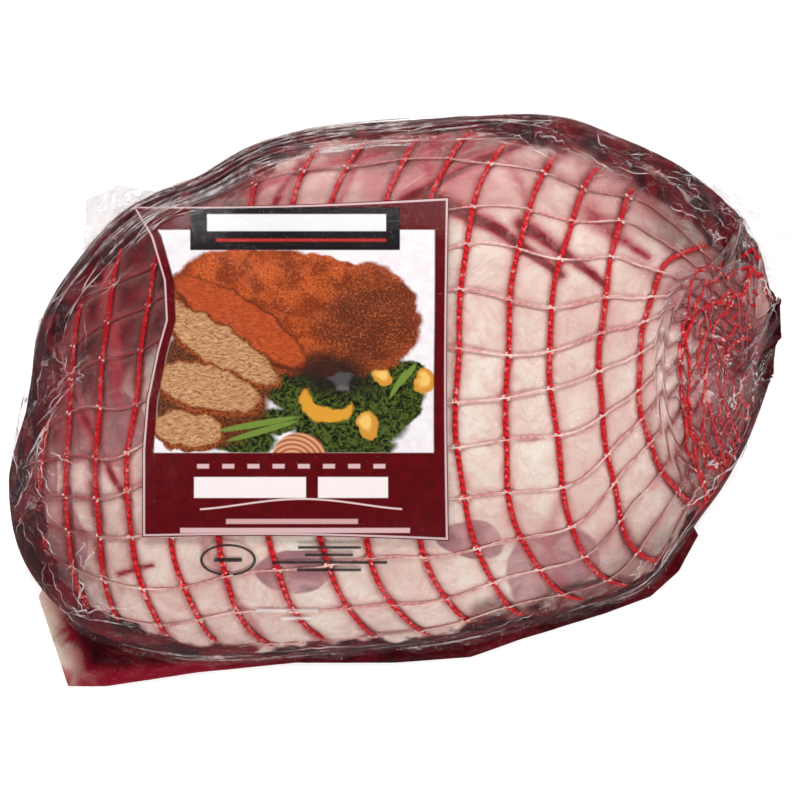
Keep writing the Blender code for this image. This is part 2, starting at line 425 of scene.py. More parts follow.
lean = zones([(98, 305, 66, 104, 22, 1.0), (66, 400, 34, 60, 0, 0.95),
              (150, 235, 64, 46, -28, 1.0), (60, 548, 22, 52, -12, 1.0),
              (118, 425, 30, 40, 0, 0.9), (296, 578, 42, 24, 0, 0.95),
              (474, 540, 34, 20, 10, 0.9), (548, 566, 50, 34, -30, 0.9),
              (560, 205, 40, 18, 25, 0.5), (690, 300, 30, 46, 20, 0.6),
              (30, 480, 20, 66, 0, 0.95), (240, 170, 44, 20, -28, 0.9)], 0.35)
red = zones([(92, 296, 62, 98, 20, 1.0), (150, 226, 74, 42, -28, 1.0),
             (52, 392, 34, 62, 0, 1.0), (235, 170, 70, 26, -28, 1.0),
             (22, 485, 18, 70, 0, 0.9), (118, 420, 26, 36, 0, 0.35),
             (52, 590, 16, 34, -25, 0.7)], 0.45)
pink = zones([(610, 520, 120, 66, -25, 0.32), (640, 330, 70, 120, 0, 0.40), (430, 160, 250, 52, -6, 1.0),
              (600, 190, 120, 42, 25, 0.9), (735, 400, 58, 150, 0, 1.0),
              (690, 270, 60, 60, 30, 0.75), (110, 500, 90, 160, 0, 0.30),
              (170, 590, 130, 70, 15, 0.30), (320, 610, 200, 50, 0, 0.18),
              (540, 300, 60, 40, 10, 0.30), (600, 600, 90, 34, -25, 0.30)], 0.6)
rq = Q + 0.022 * fbm(BASE, 18, 41)
left_side = step(-40, -110, BASE[..., 0])
far_side = step(0, 60, BASE[..., 1])
rim_at = 0.965 - 0.045 * left_side - 0.02 * far_side
rim_dark = step(rim_at - 0.03, rim_at + 0.02, rq + 0.02 * fbm(BASE, 7, 57)) * step(
    RIM_Z - 15, RIM_Z - 5, BASE[..., 2] + 4 * fbm(BASE, 20, 15))
wash = np.clip(1.15 * np.maximum.reduce([
    1.1 * blob(warp, 96, 292, 78, 108, 18, 0.35), 1.1 * blob(warp, 164, 220, 90, 48, -28, 0.35),
    0.75 * step(46, 14, warp[..., 0]), 0.70 * blob(warp, 62, 590, 30, 60, -25, 0.5),
    0.62 * blob(warp, 440, 140, 100, 22, -6, 0.6), 0.75 * blob(warp, 650, 172, 110, 26, 27, 0.5), 0.6 * blob(warp, 700, 236, 60, 30, 35, 0.6),
    0.75 * blob(warp, 748, 330, 46, 84, 0, 0.6), 0.55 * blob(warp, 730, 460, 44, 90, 10, 0.6),
    0.55 * blob(warp, 690, 560, 50, 30, -40, 0.6),
    1.1 * blob(warp, 590, 607, 106, 23, -15, 0.35), 1.0 * blob(warp, 502, 620, 34, 20, 8, 0.4),
    0.5 * blob(warp, 650, 560, 60, 26, -32, 0.5)]), 0, 1) * TOPSIDE
juicy = np.clip(np.maximum.reduce([
    0.95 * step(170, 60, warp[..., 0]), blob(warp, 110, 300, 90, 130, 20, 0.4),
    0.8 * blob(warp, 300, 150, 190, 40, -14, 0.5), 0.85 * blob(warp, 640, 190, 140, 46, 28, 0.5),
    1.0 * blob(warp, 744, 395, 82, 180, 0, 0.35), 0.6 * blob(warp, 640, 560, 90, 50, -30, 0.5),
    0.5 * blob(warp, 300, 650, 240, 24, 0, 0.5)]), 0, 1) * TOPSIDE
far_dark = (near_line(warp, [(500, 120), (545, 131), (600, 150), (660, 184), (700, 212),
                             (738, 244)], 17.0)
            + 0.9 * near_line(warp, [(180, 205), (230, 172), (300, 140)], 14.0)
            + 0.5 * near_line(warp, [(300, 138), (400, 126), (500, 120)], 7.0)) * TOPSIDE
fill = np.clip(rim_dark + far_dark * 1.15, 0, 1)     # juice hides the net here
purge = np.clip(rim_dark * 0.95 + far_dark * 0.95
                + 0.25 * left_side * TOPSIDE * np.clip(g_ring + 0.7 * g_thr, 0, 1), 0, 1)
under = (1 - TOPSIDE)
lean = np.clip(lean * TOPSIDE + under * step(-0.1, 0.5, fbm(BASE, 60, 63)) * 0.8, 0, 1)
pink = np.clip(pink * TOPSIDE + under * 0.55, 0, 1)
red = red * TOPSIDE
cell = lattice(np.floor(S + 0.001), np.floor(W * THREADS + 0.5), np.zeros(S.shape), 5) * 0.5 + 0.5

meat_in = meat_in * (1 - fill) + (0.5 + 0.25 * (1 - lumps)) * fill
MEAT = inset(BASE, meat_in, 0.55)


def closed_grid(name, grid, attrs):
    """grid with both ends closed by a centre point"""
    rows, cols = grid.shape[:2]
    verts = grid.reshape(-1, 3)
    faces = lathe_faces(rows, cols, True, True)
    a0 = grid[0].mean(axis=0)
    a1 = grid[-1].mean(axis=0)
    verts = np.vstack([verts, a0, a1])
    at = {k: np.r_[v.ravel(), v[0].mean(), v[-1].mean()] for k, v in attrs.items()}
    ob = make(name, verts, faces, at)
    bm = bmesh.new()
    bm.from_mesh(ob.data)
    bm.verts.ensure_lookup_table()
    n = rows * cols
    for j in range(cols):
        bm.faces.new((bm.verts[(j + 1) % cols], bm.verts[j], bm.verts[n]))
        bm.faces.new((bm.verts[n - cols + j], bm.verts[n - cols + (j + 1) % cols],
                      bm.verts[n + 1]))
    bmesh.ops.recalc_face_normals(bm, faces=bm.faces[:])
    for f in bm.faces:
        f.smooth = True
    bm.to_mesh(ob.data)
    bm.free()
    return ob


meat = closed_grid("meat", MEAT, {
    "ring": g_ring * calm, "thread": g_thr * calm, "lean": lean, "red": red, "pink": pink,
    "purge": purge, "fold": fold, "juicy": juicy, "wash": wash, "cell": cell, "gather": bunch, "groove": (1 - pillow) * calm})
film = closed_grid("bag_film", FILM, {"crumple": np.clip(edge + bunch, 0, 1)})


# ------------------------------------------------------------ net
def tube(paths, radius, sides, closed, twist=0.0, lobes=0, bump=0.0, flat=1.0):
    """tubes along paths (n, k, 3) with outward directions; returns verts, faces, phase"""
    vs, fs, ph = [], [], []
    base = 0
    th = np.arange(sides) / sides * 2 * np.pi
    for pts, out, rad in paths:
        k = len(pts)
        if closed:
            tan = np.roll(pts, -1, 0) - np.roll(pts, 1, 0)
        else:
            tan = np.gradient(pts, axis=0)
        tan /= np.maximum(np.linalg.norm(tan, axis=1, keepdims=True), 1e-9)
        o = out - tan * np.sum(out * tan, axis=1, keepdims=True)
        o /= np.maximum(np.linalg.norm(o, axis=1, keepdims=True), 1e-9)
        b = np.cross(tan, o)
        run = np.r_[0, np.cumsum(np.linalg.norm(np.diff(pts, axis=0), axis=1))]
        phase = run * twist
        if closed:
            total = run[-1] + np.linalg.norm(pts[0] - pts[-1])
            turns = max(1, round(total * twist / (2 * np.pi)))
            phase = run / total * turns * 2 * np.pi
        r = radius * rad[:, None] * (1 + bump * np.cos(lobes * th[None, :] + phase[:, None]))
        p = (pts[:, None, :] + o[:, None, :] * (np.sin(th)[None, :] * r * flat)[..., None]
             + b[:, None, :] * (np.cos(th)[None, :] * r)[..., None])
        vs.append(p.reshape(-1, 3))
        i = np.arange(k if closed else k - 1)[:, None]
        ii = (i + 1) % k
        j = np.arange(sides)[None, :]
        jj = (j + 1) % sides
        f = np.stack([i * sides + j, ii * sides + j, ii * sides + jj, i * sides + jj], -1)
        fs.append(f.reshape(-1, 4) + base)
        ph.append(np.cos(lobes * th[None, :] + phase[:, None]).ravel() * 0.5 + 0.5)
        base += k * sides
    return np.vstack(vs), np.vstack(fs), np.concatenate(ph)


def under_panel(p):
    return over_panel(layout(p)) * (p[..., 2] > RIM_Z)


rng = np.random.default_rng(41)
ring_paths = []
n_seg = 400
for k in range(RINGS):
    w = np.arange(n_seg) / n_seg
    s = k + ring_wander(w, k)
    p = sample(s, w, BASE)
    n = sample(s, w, NORM)
    n /= np.linalg.norm(n, axis=-1, keepdims=True)
    p = p - n * (1.60 + 0.9 * under_panel(p) + 1.2 * sample(s, w, fill[..., None])[:, 0])[:, None]
    p[:, 2] = np.maximum(p[:, 2], 0.9)
    ring_paths.append((p, n, 1 + 0.10 * noise(p, 9, 3 + k)))
v, f, ph = tube(ring_paths, 0.90, 8, True, twist=2 * np.pi / 1.9, lobes=1, bump=0.22, flat=0.72)
zr = np.concatenate([np.repeat(sample(k + 0 * np.arange(n_seg) / n_seg, np.arange(n_seg) / n_seg,
                                      np.maximum(np.maximum(red, 0.7 * juicy), 0.4 * pink)[..., None])[:, 0], 8)
                     for k in range(RINGS)])
rings = make("net_rings", v, f, {"phase": ph, "zone": zr})

thread_paths = []
n_t = 340
for j in range(THREADS):
    for side in (-1, 1):
        s = np.linspace(-0.9, RINGS + 0.6, n_t)
        w = (j + 0.5) / THREADS + thread_wander(s, j)
        g = np.interp(s, s_rows, GIRTH)
        loosen = 0.12 + 0.18 * (0.5 + 0.5 * np.sin(1.3 * j + 0.35 * s))
        sway = np.abs(np.sin(np.pi * s)) ** 0.7 * loosen + 0.10 * np.sin(9.0 * s + j)
        w = w + side * sway / g
        p = sample(s, w, BASE)
        n = sample(s, w, NORM)
        n /= np.linalg.norm(n, axis=-1, keepdims=True)
        cross = np.exp(-((s - np.round(s)) / 0.10) ** 2)
        p = p - n * (1.05 - 0.35 * cross + 1.2 * under_panel(p)
                     + 0.9 * sample(s, w, fill[..., None])[:, 0])[:, None]
        p[:, 2] = np.maximum(p[:, 2], 0.5)
        thread_paths.append((p, n, 1 - 0.35 * sample(s, w, bunch[..., None])[:, 0]))
v, f, ph = tube(thread_paths, 0.22, 5, False, twist=2 * np.pi / 1.4, lobes=1, bump=0.15)
zt = np.concatenate([np.repeat(sample(np.linspace(-0.9, RINGS + 0.6, n_t),
                                      (j + 0.5) / THREADS + np.zeros(n_t),
                                      np.maximum(np.maximum(red, 1.0 * juicy), 0.3 * pink)[..., None])[:, 0], 5)
                     for j in range(THREADS) for side in (-1, 1)])
threads = make("net_threads", v, f, {"phase": ph, "zone": zt})

# knots where a thread is knitted into a ring
kv, kf = [], []
base = 0
for k in range(RINGS):
    for j in range(THREADS):
        w0 = (j + 0.5) / THREADS + thread_wander(np.array([float(k)]), j)[0]
        for e in range(2):
            s0 = k + ring_wander(np.array([w0]), k)[0] + (0.05 if e else -0.05)
            c = sample(np.array([s0]), np.array([w0 + (0.0012 if e else -0.0012)]), BASE)[0]
            n = sample(np.array([s0]), np.array([w0]), NORM)[0]
            n /= np.linalg.norm(n)
            c = c - n * (0.95 + 1.2 * under_panel(c) + 1.2 * sample(
                np.array([s0]), np.array([w0]), fill[..., None])[0, 0])
            if c[2] < 1.0:
                continue
            t1 = np.cross(n, [0, 1.0, 0.2])
            t1 /= np.linalg.norm(t1)
            t2 = np.cross(n, t1)
            a = rng.uniform(0, 6.28)
            u1 = t1 * math.cos(a) + t2 * math.sin(a)
            u2 = np.cross(n, u1)
            lat = [(0.0, 1.0), (0.75, 0.66), (1.0, 0.0), (0.75, -0.66)]
            ring_n = 7
            pts = [c + n * 0.30]
            for rr, zz in lat[1:]:
                for q in range(ring_n):
                    aa = q / ring_n * 2 * math.pi
                    pts.append(c + u1 * (rr * 0.72 * math.cos(aa)) + u2 * (rr * 0.40 * math.sin(aa))
                               + n * zz * 0.30)
            pts.append(c - n * 0.30)
            kv.append(np.array(pts))
            for q in range(ring_n):
                qq = (q + 1) % ring_n
                kf.append((base, base + 1 + q, base + 1 + qq))
                for lev in range(2):
                    a0 = base + 1 + lev * ring_n
                    b0 = a0 + ring_n
                    kf.append((a0 + q, b0 + q, b0 + qq))
                    kf.append((a0 + q, b0 + qq, a0 + qq))
                kf.append((base + 1 + 2 * ring_n + q, base + 1 + 3 * ring_n,
                           base + 1 + 2 * ring_n + qq))
            base += len(pts)
knots = make("net_knots", np.vstack(kv), np.array(kf))


# ------------------------------------------------------------ gathered net end
def polar_path(cx, cy, ax, ay, turn, a0, a1, n, seed, jig, depth):
    """wavy arc round a point, laid on the shown side"""
    a = np.linspace(a0, a1, n)
    r = 1 + jig * fbm(np.stack([a * 8, a * 0 + seed * 3.1, a * 0], -1), 2.0, seed, 3)
    x = cx + ax * r * np.cos(a)
    y = cy + ay * r * np.sin(a)
    t = math.radians(turn)
    x, y = cx + (x - cx) * math.cos(t) - (y - cy) * math.sin(t), \
        cy + (x - cx) * math.sin(t) + (y - cy) * math.cos(t)
    q = rho(x, y)
    lim = 0.975
    k = np.where(q > lim, lim / q, 1.0)
    x, y = x * k, y * k
    z = top_z(x, y)
    e = 0.6
    nx = -(top_z(x + e, y) - top_z(x - e, y)) / (2 * e)
    ny = -(top_z(x, y + e) - top_z(x, y - e)) / (2 * e)
    nrm = np.stack([nx, ny, 1 + 0 * x], -1)
    nrm /= np.linalg.norm(nrm, axis=-1, keepdims=True)
    return np.stack([x, y, z], -1) - nrm * depth, nrm, 1 + 0 * x


red_paths, pale_paths = [], []
xe, ye, _ = TIED_END
for k in range(11):
    ax = 4 + 3.4 * k
    red_paths.append(polar_path(xe + 4, ye, ax * 0.62, ax * 1.32, 4, math.radians(75 - k),
                                math.radians(285 + k), 150, 20 + k, 0.09, 0.9 + 0.35 * (k % 3)))
for k in range(10):
    a = math.radians(85 + 190 * k / 9)
    r0, r1 = 4.0, 44.0
    n = 60
    u = np.linspace(0, 1, n)
    r = r0 + (r1 - r0) * u
    aa = a + 0.10 * np.sin(7 * u + k * 2.1) + 0.05 * np.sin(19 * u + k)
    x = xe + 4 + 0.62 * r * np.cos(aa)
    y = ye + 1.32 * r * np.sin(aa)
    q = rho(x, y)
    kk = np.where(q > 0.975, 0.975 / q, 1.0)
    x, y = x * kk, y * kk
    z = top_z(x, y)
    e = 0.6
    nrm = np.stack([-(top_z(x + e, y) - top_z(x - e, y)) / (2 * e),
                    -(top_z(x, y + e) - top_z(x, y - e)) / (2 * e), 1 + 0 * x], -1)
    nrm /= np.linalg.norm(nrm, axis=-1, keepdims=True)
    pale_paths.append((np.stack([x, y, z], -1) - nrm * 0.7, nrm, 1 + 0 * x))
v, f, ph = tube(red_paths, 0.66, 7, False, twist=2 * np.pi / 1.7, lobes=1, bump=0.22, flat=0.75)
bunch_red = make("net_gather_red", v, f, {"phase": ph, "zone": 0.35 + 0 * ph})
v, f, ph = tube(pale_paths, 0.27, 5, False, twist=2 * np.pi / 1.4, lobes=1, bump=0.15)
bunch_pale = make("net_gather_pale", v, f, {"phase": ph, "zone": 0.9 + 0 * ph})

# ------------------------------------------------------------ pleats in the bag, drawn whitish as painted highlights
def pleat(a0, q0, length, swing, seed):
    """jagged raised fold of doubled film, laid along the rim from angle a0"""
    n = 26
    u = np.linspace(0, 1, n)
    r0 = float(plan_radius(np.array(a0 % (2 * np.pi))))
    a = a0 + u * length / r0
    rough = 0.004 + 0.018 * math.exp(-length / 14.0)
    q = q0 + swing * (u - 0.5) + rough * fbm(np.stack([u * 7, u * 0 + seed * 1.7, u * 0], -1),
                                             1.6, seed, 3)
    q = np.clip(q, 0.3, 0.988)
    r = plan_radius(a % (2 * np.pi)) * q
    x, y = r * np.cos(a), r * np.sin(a)
    z = top_z(x, y)
    e = 0.5
    nrm = np.stack([-(top_z(x + e, y) - top_z(x - e, y)) / (2 * e),
                    -(top_z(x, y + e) - top_z(x, y - e)) / (2 * e), 1 + 0 * x], -1)
    nrm /= np.linalg.norm(nrm, axis=-1, keepdims=True)
    taper = np.sin(np.pi * np.clip(u, 0.02, 0.98)) ** 0.6
    return np.stack([x, y, z], -1) + nrm * 0.5, nrm, taper * rng.uniform(0.35, 1.25) ** 1.3


pleats = []
for lo, hi, count, q_lo, q_hi, ln_lo, ln_hi, sw in [
        (58, 152, 64, 0.88, 0.99, 18, 85, 0.06),      # far edge, long streaks
        (150, 215, 54, 0.84, 0.99, 5, 22, 0.10),      # shank end, short and jagged
        (215, 330, 14, 0.95, 0.99, 14, 50, 0.02),    # near edge
        (-40, 35, 40, 0.88, 0.992, 5, 20, 0.08),       # gathered end
        (30, 62, 16, 0.86, 0.99, 8, 30, 0.08)]:
    for k in range(count):
        pleats.append(pleat(math.radians(rng.uniform(lo, hi)), rng.uniform(q_lo, q_hi),
                            rng.uniform(ln_lo, ln_hi), rng.uniform(-sw, sw), 200 + len(pleats)))
# the pleats' near-white colour is a painted highlight of the light caught by the folds
v, f, ph = tube(pleats, 0.20, 6, False, flat=1.5)
pleat_highlights = make("bag_pleats_painted_highlight", v, f, {"phase": ph})

# ------------------------------------------------------------ printed panel
bm = bmesh.new()
bm.from_mesh(film.data)
bvh = BVHTree.FromBMesh(bm)
bm.free()
CAM = to_m(np.array([1.75, 0.0, RIM_Z + CAM_D]))


def lay_on_film(u, v, sink):
    """points of the layout set down on the film from above, metres"""
    x = (u - 400) * UNIT + 1.75
    y = (400 - v) * UNIT
    tgt = to_m(np.stack([x, y, np.full_like(x, RIM_Z)], -1))
    out = np.zeros(tgt.shape)
    flat_t = tgt.reshape(-1, 3)
    flat_o = out.reshape(-1, 3)
    cam = Vector(CAM)
    for i, p in enumerate(flat_t):
        d = (Vector(p) - cam).normalized()
        hit, nrm, _, _ = bvh.ray_cast(cam, d)
        if hit is None:
            hit = Vector(p)
            nrm = Vector((0, 0, 1))
        if nrm.z < 0:
            nrm = -nrm
        flat_o[i] = hit - nrm * sink * MM
    return out / MM - SHIFT


PANEL_L = [(132, 206), (150, 236), (163, 280), (165, 320), (156, 352), (146, 400), (142, 450),
           (142, 500), (142, 537)]


def panel_edges(b):
    """left and right edge of the panel at share b down it"""
    pts = np.array(PANEL_L, float)
    run = np.linspace(0, 1, len(pts))
    lx = np.interp(b, run, pts[:, 0])
    ly = np.interp(b, run, pts[:, 1])
    rx = 449 - 2.0 * np.sin(math.pi * b)
    ry = 197 + (541 - 197) * b
    return lx, ly, rx, ry


nu, nv = ((190, 210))
A, B = np.meshgrid(np.linspace(0, 1, nu), np.linspace(0, 1, nv), indexing="xy")
lx, ly, rx, ry = panel_edges(B)
U = lx + (rx - lx) * A
V = ly + (ry - ly) * A + 3.0 * np.sin(math.pi * A) * (1 - 2 * B)
pv = lay_on_film(U, V, 0.10)
edge_in = np.minimum(np.minimum(A * 310, (1 - A) * 310), np.minimum(B * 340, (1 - B) * 340))
panel = make("printed_panel", pv.reshape(-1, 3), grid_faces(nv, nu),
             {"edge_in": edge_in, "across": A, "down": B},
             uv=np.stack([U / 100, V / 100], -1).reshape(-1, 2))


# ------------------------------------------------------------ bag margins
def along(points):
    pts = np.array(points, float)
    run = np.r_[0, np.cumsum(np.linalg.norm(np.diff(pts, axis=0), axis=1))]
    return lambda u: np.stack([np.interp(u * run[-1], run, pts[:, 0]),
                               np.interp(u * run[-1], run, pts[:, 1])], -1)


def strip(name, outer, in_share, z_in, z_out, wave, thick, cols, rows, seed, rough):
    """thin closed strip from inside the leg to a plan curve"""
    u = np.linspace(0, 1, cols)
    o = outer(u)
    ang = np.arctan2(o[:, 1], o[:, 0])
    r = in_share * plan_radius(ang)
    i = np.stack([r * np.cos(ang), r * np.sin(ang)], -1)
    v = np.linspace(0, 1, rows)
    xy = i[:, None, :] + (o - i)[:, None, :] * v[None, :, None]
    z = z_in + (z_out - z_in) * v[None, :] + wave * np.sin(11 * u[:, None] + 2 * v[None, :]) * v
    p = np.concatenate([xy, z[..., None]], -1)
    wob = fbm(p * np.array([1, 1, 0.0]), 9, seed, 3)
    crk = np.clip(1 - np.abs(fbm(p * np.array([1, 1, 0.0]), 7, seed + 5, 3)) * 1.8, 0, 1) ** 2
    lift = rough * (0.7 * wob + 1.0 * crk) * v[None, :]
    half = thick / 2 * (1 - 0.75 * v[None, :] ** 3)
    top = p + np.stack([0 * lift, 0 * lift, lift + half], -1)
    bot = p + np.stack([0 * lift, 0 * lift, np.maximum(lift - half, 0.3 - p[..., 2])], -1)
    bot[..., 2] = np.minimum(bot[..., 2], top[..., 2] - 0.12)
    n = cols * rows
    f1 = grid_faces(cols, rows)
    f2 = f1[:, ::-1] + n
    side = []
    ring = [k * rows for k in range(cols)] + [(cols - 1) * rows + k for k in range(1, rows)] \
        + [k * rows + rows - 1 for k in range(cols - 2, -1, -1)] + [k for k in range(rows - 2, 0, -1)]
    for a, b in zip(ring, ring[1:] + ring[:1]):
        side.append((a, b, b + n, a + n))
    faces = np.vstack([f1, f2, np.array(side)])
    verts = np.vstack([top.reshape(-1, 3), bot.reshape(-1, 3)])
    share = np.tile(np.broadcast_to(v[None, :], (cols, rows)).ravel(), 2)
    run = np.tile(np.broadcast_to(u[:, None], (cols, rows)).ravel(), 2)
    ob = make(name, verts, faces, {"out": share, "run": run})
    bm = bmesh.new()
    bm.from_mesh(ob.data)
    bmesh.ops.recalc_face_normals(bm, faces=bm.faces[:])
    bm.to_mesh(ob.data)
    bm.free()
    return ob


NEAR_FIN = [(-117.0, -52.0), (-127.0, -70.0), (-121.0, -88.0), (-116.5, -102.0),
            (-103.0, -102.0), (-70.0, -97.0), (-35.0, -93.5), (0.0, -93.5), (27.0, -91.5),
            (44.0, -85.5), (75.0, -76.0), (91.0, -70.0), (101.0, -61.0), (108.0, -48.0),
            (102.0, -38.0)]
FAR_TUFT = [(112.0, 76.0), (126.0, 69.5), (141.0, 60.0), (142.0, 50.0), (134.0, 42.0)]
SHANK_TUFT = [(-109.0, 52.0), (-108.0, 70.0), (-97.0, 75.0), (-78.0, 72.0)]
fin = strip("juice_margin", along(NEAR_FIN), 0.80, 11.0, 5.0, 1.0, 3.0, 260, 34, 51, 0.9)
tuft_a = strip("film_tuft_far", along(FAR_TUFT), 0.88, 29.0, 27.0, 1.6, 1.2, 70, 34, 61, 1.6)
tuft_b = strip("film_tuft_shank", along(SHANK_TUFT), 0.88, 31.0, 33.0, 1.4, 1.2, 60, 30, 71, 1.6)


# ------------------------------------------------------------ node helpers
def srgb(r, g, b):
    def f(c):
        c /= 255.0
        return c / 12.92 if c <= 0.04045 else ((c + 0.055) / 1.055) ** 2.4
    return (f(r), f(g), f(b), 1.0)


class Tree:
    def __init__(self, name):
        self.mat = bpy.data.materials.new(name)
        self.mat.use_nodes = True
        self.nt = self.mat.node_tree
        self.nt.nodes.clear()
        self.out = self.nt.nodes.new("ShaderNodeOutputMaterial")

    def put(self, sock, val):
        if isinstance(val, bpy.types.NodeSocket):
            self.nt.links.new(val, sock)
        else:
            sock.default_value = val

    def node(self, kind, ins=None, **props):
        n = self.nt.nodes.new(kind)
        for k, v in props.items():
            setattr(n, k, v)
        for k, v in (ins or {}).items():
            self.put(n.inputs[k], v)
        return n

    def attr(self, name):
        return self.node("ShaderNodeAttribute", attribute_name=name).outputs["Fac"]

    def pos(self):
        return self.node("ShaderNodeTexCoord").outputs["Object"]

    def uv(self):
        return self.node("ShaderNodeUVMap", uv_map="print").outputs["UV"]

    def math(self, op, a, b=0.0, c=0.0, clamp=False):
        n = self.node("ShaderNodeMath", {0: a, 1: b, 2: c}, operation=op)
        n.use_clamp = clamp
        return n.outputs[0]

    def mix(self, fac, a, b, blend='MIX'):
        n = self.node("ShaderNodeMix", data_type='RGBA', blend_type=blend)
        self.put(n.inputs[0], fac)
        self.put(n.inputs[6], a)
        self.put(n.inputs[7], b)
        return n.outputs[2]

    def ramp(self, x, lo, hi, a=0.0, b=1.0, kind='SMOOTHSTEP'):
        n = self.node("ShaderNodeMapRange", {0: x, 1: lo, 2: hi, 3: a, 4: b},
                      interpolation_type=kind)
        n.clamp = True
        return n.outputs[0]

    def noise(self, vec, scale, detail=3.0, rough=0.55, distortion=0.0, out="Fac"):
        n = self.node("ShaderNodeTexNoise", {"Vector": vec, "Scale": scale, "Detail": detail,
                                             "Roughness": rough, "Distortion": distortion})
        return n.outputs[out]

    def bump(self, height, strength, dist, normal=None):
        n = self.node("ShaderNodeBump", {"Strength": strength, "Distance": dist,
                                         "Height": height})
        if normal is not None:
            self.put(n.inputs["Normal"], normal)
        return n.outputs[0]

    def surface(self, shader):
        self.nt.links.new(shader, self.out.inputs["Surface"])
        return self.mat


# ------------------------------------------------------------ meat material
t = Tree("raw_lamb")
P = t.pos()
n_big = t.noise(P, 28, 3, 0.6)
n_mid = t.noise(P, 90, 4, 0.6, 0.4)
n_fine = t.noise(P, 420, 3, 0.6)
vein = t.ramp(t.math('ABSOLUTE', t.math('SUBTRACT', t.noise(P, 70, 5, 0.62, 1.2), 0.5)),
              0.0, 0.05, 1.0, 0.0)
fat = t.mix(t.ramp(n_mid, 0.38, 0.66), srgb(231, 220, 207), srgb(221, 200, 188))
fat = t.mix(t.ramp(t.attr("cell"), 0.45, 1.0, 0, 0.30), fat, srgb(222, 184, 174))
rosy = t.math('MULTIPLY', t.attr("pink"), t.ramp(n_big, 0.34, 0.62, 0.35, 1.0))
fat = t.mix(t.math('MULTIPLY', rosy, 0.9), fat, srgb(180, 104, 106))
fat = t.mix(t.math('MULTIPLY', vein, 0.20), fat, srgb(196, 128, 124))
cloud = t.math('MULTIPLY', t.ramp(t.noise(P, 120, 5, 0.66, 1.0), 0.48, 0.68), t.math(
    'ADD', t.math('MULTIPLY', t.attr("thread"), 0.8), t.math('ADD', t.math(
        'MULTIPLY', t.attr("ring"), 0.5), 0.30), clamp=True), clamp=True)
fat = t.mix(t.math('MULTIPLY', cloud, 0.85), fat, srgb(202, 122, 126))
lean_c = t.mix(t.ramp(n_mid, 0.35, 0.68), srgb(152, 108, 114), srgb(190, 150, 148))
lean_c = t.mix(t.attr("red"), lean_c, t.mix(t.ramp(n_mid, 0.35, 0.65), srgb(50, 1, 8),
                                            srgb(108, 10, 24)))
is_lean = t.ramp(t.math('ADD', t.attr("lean"), t.math('MULTIPLY', t.math(
    'SUBTRACT', n_big, 0.5), 1.1)), 0.38, 0.58)
col = t.mix(is_lean, fat, lean_c)
stain = t.math('ADD', t.math('MULTIPLY', t.attr("ring"), 0.62),
               t.math('MULTIPLY', t.attr("thread"), 0.34), clamp=True)
stain = t.math('MULTIPLY', stain, t.ramp(n_mid, 0.3, 0.7, 0.55, 1.1))
col = t.mix(stain, col, t.mix(t.ramp(t.attr("pink"), 0.2, 0.9), srgb(204, 112, 110),
                              srgb(140, 26, 38)))
soak = t.math('MULTIPLY', t.attr("juicy"), t.math('ADD', t.math(
    'MULTIPLY', t.attr("ring"), 1.0), t.math('ADD', t.math('MULTIPLY', t.attr("groove"), 0.70),
                                             0.08), clamp=True), clamp=True)
soak = t.math('MULTIPLY', soak, t.ramp(n_mid, 0.32, 0.58, 0.45, 1.15), clamp=True)
col = t.mix(soak, col, t.mix(t.ramp(n_fine, 0.35, 0.65), srgb(104, 14, 26), srgb(136, 34, 46)))
wash = t.math('MULTIPLY', t.attr("wash"), t.ramp(t.noise(P, 75, 4, 0.62, 1.4), 0.34, 0.60,
                                                  0.72, 1.0), clamp=True)
col = t.mix(wash, col, t.mix(t.ramp(n_mid, 0.36, 0.64), srgb(38, 0, 4), srgb(96, 4, 18)))
fo = t.math('MULTIPLY', t.math('MULTIPLY', t.attr("fold"), 1.35, clamp=True), t.ramp(t.noise(P, 240, 4, 0.65), 0.30, 0.58, 0.80, 1.10),
            clamp=True)
col = t.mix(fo, col, t.mix(t.ramp(t.attr("fold"), 0.5, 0.95), srgb(158, 40, 54),
                           srgb(100, 8, 24)))
# painted shade: the fat is darkened to pink in the grooves round each cell
col = t.mix(t.math('MULTIPLY', t.attr("groove"), 0.22), col, srgb(206, 140, 134))
gat = t.math('MULTIPLY', t.attr("gather"), t.ramp(n_mid, 0.3, 0.6, 0.65, 1.0))
col = t.mix(gat, col, t.mix(t.ramp(n_mid, 0.4, 0.62), srgb(88, 8, 22), srgb(142, 48, 60)))
wet = t.ramp(t.math('ADD', t.attr("purge"), t.math('MULTIPLY', t.math(
    'SUBTRACT', n_mid, 0.5), 0.9)), 0.30, 0.75)
col = t.mix(wet, col, t.mix(t.ramp(t.noise(P, 60, 4, 0.65, 1.5), 0.38, 0.66), srgb(44, 2, 8),
                            srgb(108, 14, 26)))
b = t.bump(t.math('ADD', t.math('MULTIPLY', n_mid, 0.6), t.math('MULTIPLY', n_fine, 0.25)),
           0.5, 0.0012)
bs = t.node("ShaderNodeBsdfPrincipled", {"Specular IOR Level": 0.12, "Base Color": col, "Roughness": t.ramp(
    n_mid, 0.3, 0.7, 0.30, 0.48), "Normal": b})
bs.inputs["Subsurface Weight"].default_value = 0.08
bs.inputs["Subsurface Radius"].default_value = (1.0, 0.45, 0.3)
bs.inputs["Subsurface Scale"].default_value = 0.003
MEAT_MAT = t.surface(bs.outputs[0])

